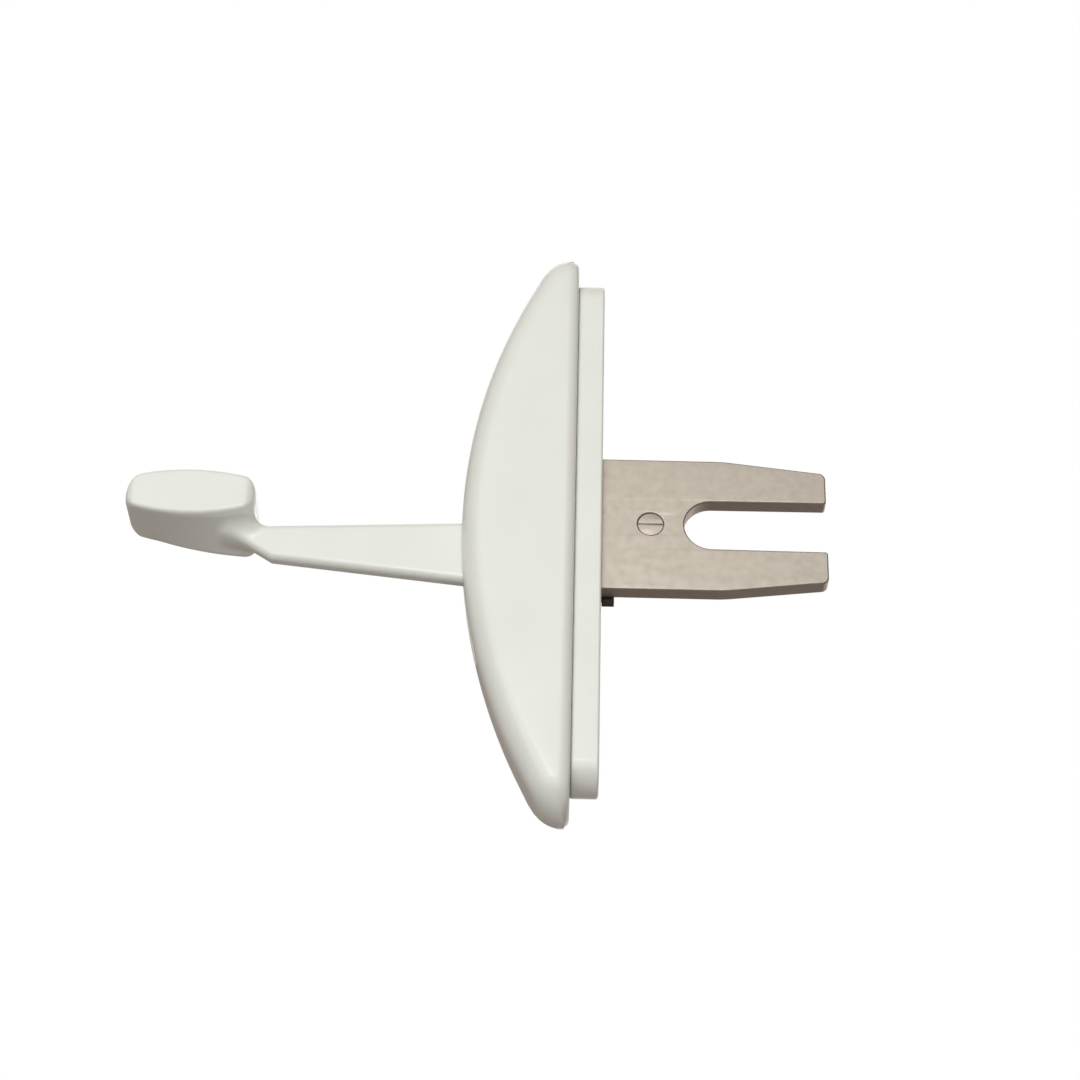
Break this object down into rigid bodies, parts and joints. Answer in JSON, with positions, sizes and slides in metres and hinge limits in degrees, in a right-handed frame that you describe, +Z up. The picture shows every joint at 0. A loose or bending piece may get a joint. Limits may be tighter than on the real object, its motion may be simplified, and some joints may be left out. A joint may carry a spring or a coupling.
{
  "type": "forked lever latch",
  "caption": "Wall-mounted lever latch: slim domed cover on a bar-shaped base, a swinging thumb lever in front and a slotted steel fork behind that moves a tie bar.",
  "frame": {"origin": "centre of the base's flat back face, half way between its two screw holes", "axes": "+X into the frame it is screwed to, the way the fork points; +Z up along the cover; Y across it, parallel to the pivot pin; the lever stands out towards -X"},
  "size_m": [0.1212, 0.013, 0.1126],
  "materials": {
    "painted_zinc": "semi-gloss off-white powder coat",
    "nickel_steel": "satin warm nickel plate with fine rolling marks",
    "dark_steel": "dark phosphated steel",
    "steel_pin": "turned steel",
    "spring_steel": "blued spring steel",
    "bronze_bush": "sintered bronze",
    "acetal": "natural acetal",
    "buffer_nylon": "black nylon"
  },
  "bodies": {
    "housing": {"base": "painted_zinc", "cover": "painted_zinc", "pivot_pin": "steel_pin", "friction_washer_near": "acetal", "friction_washer_far": "acetal", "spring_washer": "spring_steel", "stop_buffer_upper": "buffer_nylon", "stop_buffer_lower": "buffer_nylon", "cover_grommet_upper": "buffer_nylon", "cover_grommet_lower": "buffer_nylon"},
    "lever": {"lever": "painted_zinc", "hub_bush": "bronze_bush", "tail_plate": "dark_steel", "fork": "nickel_steel", "fork_rivet_outer": "nickel_steel", "fork_rivet_inner_upper": "steel_pin", "fork_rivet_inner_lower": "steel_pin", "hub_rivet_upper": "steel_pin", "hub_rivet_lower": "steel_pin"}
  },
  "joints": [
    {"name": "lever_swing", "type": "hinge", "parent": "housing", "child": "lever", "pos_m": [-0.0105, 0, 0], "axis": [0, 1, 0], "range_deg": [-45, 45]}
  ]
}
